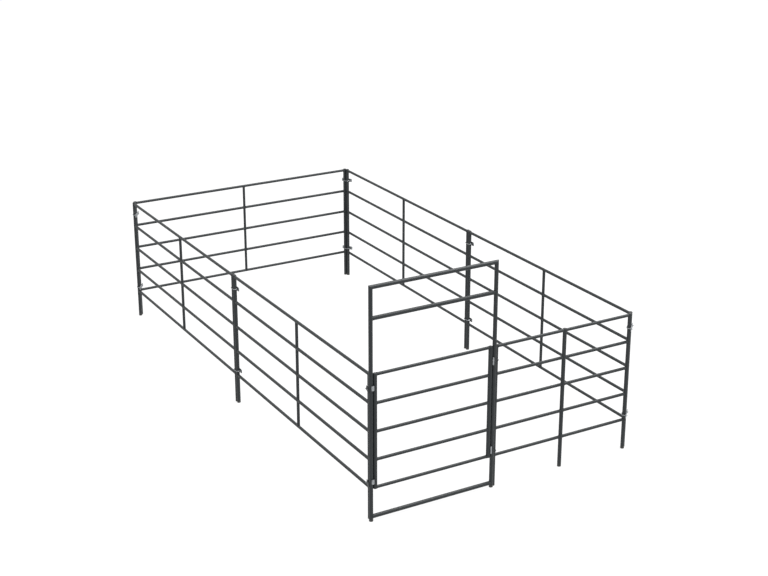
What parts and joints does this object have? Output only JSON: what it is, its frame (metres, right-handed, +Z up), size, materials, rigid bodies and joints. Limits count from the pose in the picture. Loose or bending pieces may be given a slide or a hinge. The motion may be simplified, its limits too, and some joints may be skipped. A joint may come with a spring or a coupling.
{
  "type": "livestock stall",
  "caption": "Rectangular stall of round-tube rail panels clamped at their legs, with a tall walk-through gate frame and an outward-swinging barred gate.",
  "frame": {"origin": "centre of the foot of the gate frame's latch post, on the ground, in the stall's front-left corner", "axes": "+X along the front wall from the latch post to the hinge post, +Y from the front wall to the back wall, +Z up"},
  "size_m": [3.1417, 6.2061, 2.3885],
  "materials": {
    "panel_paint": "satin charcoal powder coat on round steel tube",
    "gate_frame_paint": "satin charcoal powder coat on round steel tube",
    "gate_paint": "satin charcoal powder coat on round steel tube",
    "zinc": "dull zinc-plated steel"
  },
  "bodies": {
    "stall": {"left_front_panel_near_leg": "panel_paint", "left_front_panel_far_leg": "panel_paint", "left_front_panel_infill": "panel_paint", "left_rear_panel_near_leg": "panel_paint", "left_rear_panel_far_leg": "panel_paint", "left_rear_panel_infill": "panel_paint", "right_front_panel_near_leg": "panel_paint", "right_front_panel_far_leg": "panel_paint", "right_front_panel_infill": "panel_paint", "right_rear_panel_near_leg": "panel_paint", "right_rear_panel_far_leg": "panel_paint", "right_rear_panel_infill": "panel_paint", "back_panel_near_leg": "panel_paint", "back_panel_far_leg": "panel_paint", "back_panel_infill": "panel_paint", "front_panel_near_leg": "panel_paint", "front_panel_far_leg": "panel_paint", "front_panel_infill": "panel_paint", "gate_latch_post": "gate_frame_paint", "gate_hinge_post": "gate_frame_paint", "gate_frame_beam": "gate_frame_paint", "gate_frame_crossbar": "gate_frame_paint", "gate_frame_sill": "gate_frame_paint", "gate_stop": "gate_frame_paint", "lower_hinge_post_barrel": "zinc", "upper_hinge_post_barrel": "zinc", "lower_hinge_pin": "zinc", "upper_hinge_pin": "zinc", "lower_button_stud": "zinc", "upper_button_stud": "zinc", "latch_post_lower_ear_bolt": "zinc", "latch_post_upper_ear_bolt": "zinc", "hinge_post_lower_ear_bolt": "zinc", "hinge_post_upper_ear_bolt": "zinc", "left_wall_lower_u_bolt": "zinc", "left_wall_lower_clamp_plate": "zinc", "left_wall_upper_u_bolt": "zinc", "left_wall_upper_clamp_plate": "zinc", "right_wall_lower_u_bolt": "zinc", "right_wall_lower_clamp_plate": "zinc", "right_wall_upper_u_bolt": "zinc", "right_wall_upper_clamp_plate": "zinc", "back_left_lower_u_bolt": "zinc", "back_left_lower_clamp_plate": "zinc", "back_left_upper_u_bolt": "zinc", "back_left_upper_clamp_plate": "zinc", "back_right_lower_u_bolt": "zinc", "back_right_lower_clamp_plate": "zinc", "back_right_upper_u_bolt": "zinc", "back_right_upper_clamp_plate": "zinc", "front_right_lower_u_bolt": "zinc", "front_right_lower_clamp_plate": "zinc", "front_right_upper_u_bolt": "zinc", "front_right_upper_clamp_plate": "zinc"},
    "gate": {"gate_leaf": "gate_paint", "lower_hinge_gate_barrel": "zinc", "upper_hinge_gate_barrel": "zinc"},
    "upper_button": {"upper_turn_button": "zinc"},
    "lower_button": {"lower_turn_button": "zinc"}
  },
  "joints": [
    {"name": "gate_swing", "type": "hinge", "parent": "stall", "child": "gate", "pos_m": [1.3405, -0.01954, 0.418], "axis": [0, 0, 1], "range_deg": [0, 170]},
    {"name": "upper_button_turn", "type": "hinge", "parent": "stall", "child": "upper_button", "pos_m": [0.008, -0.024, 1.395], "axis": [0, -1, 0], "range_deg": [0, 90]},
    {"name": "lower_button_turn", "type": "hinge", "parent": "stall", "child": "lower_button", "pos_m": [0.008, -0.024, 0.433], "axis": [0, -1, 0], "range_deg": [0, 90]}
  ]
}
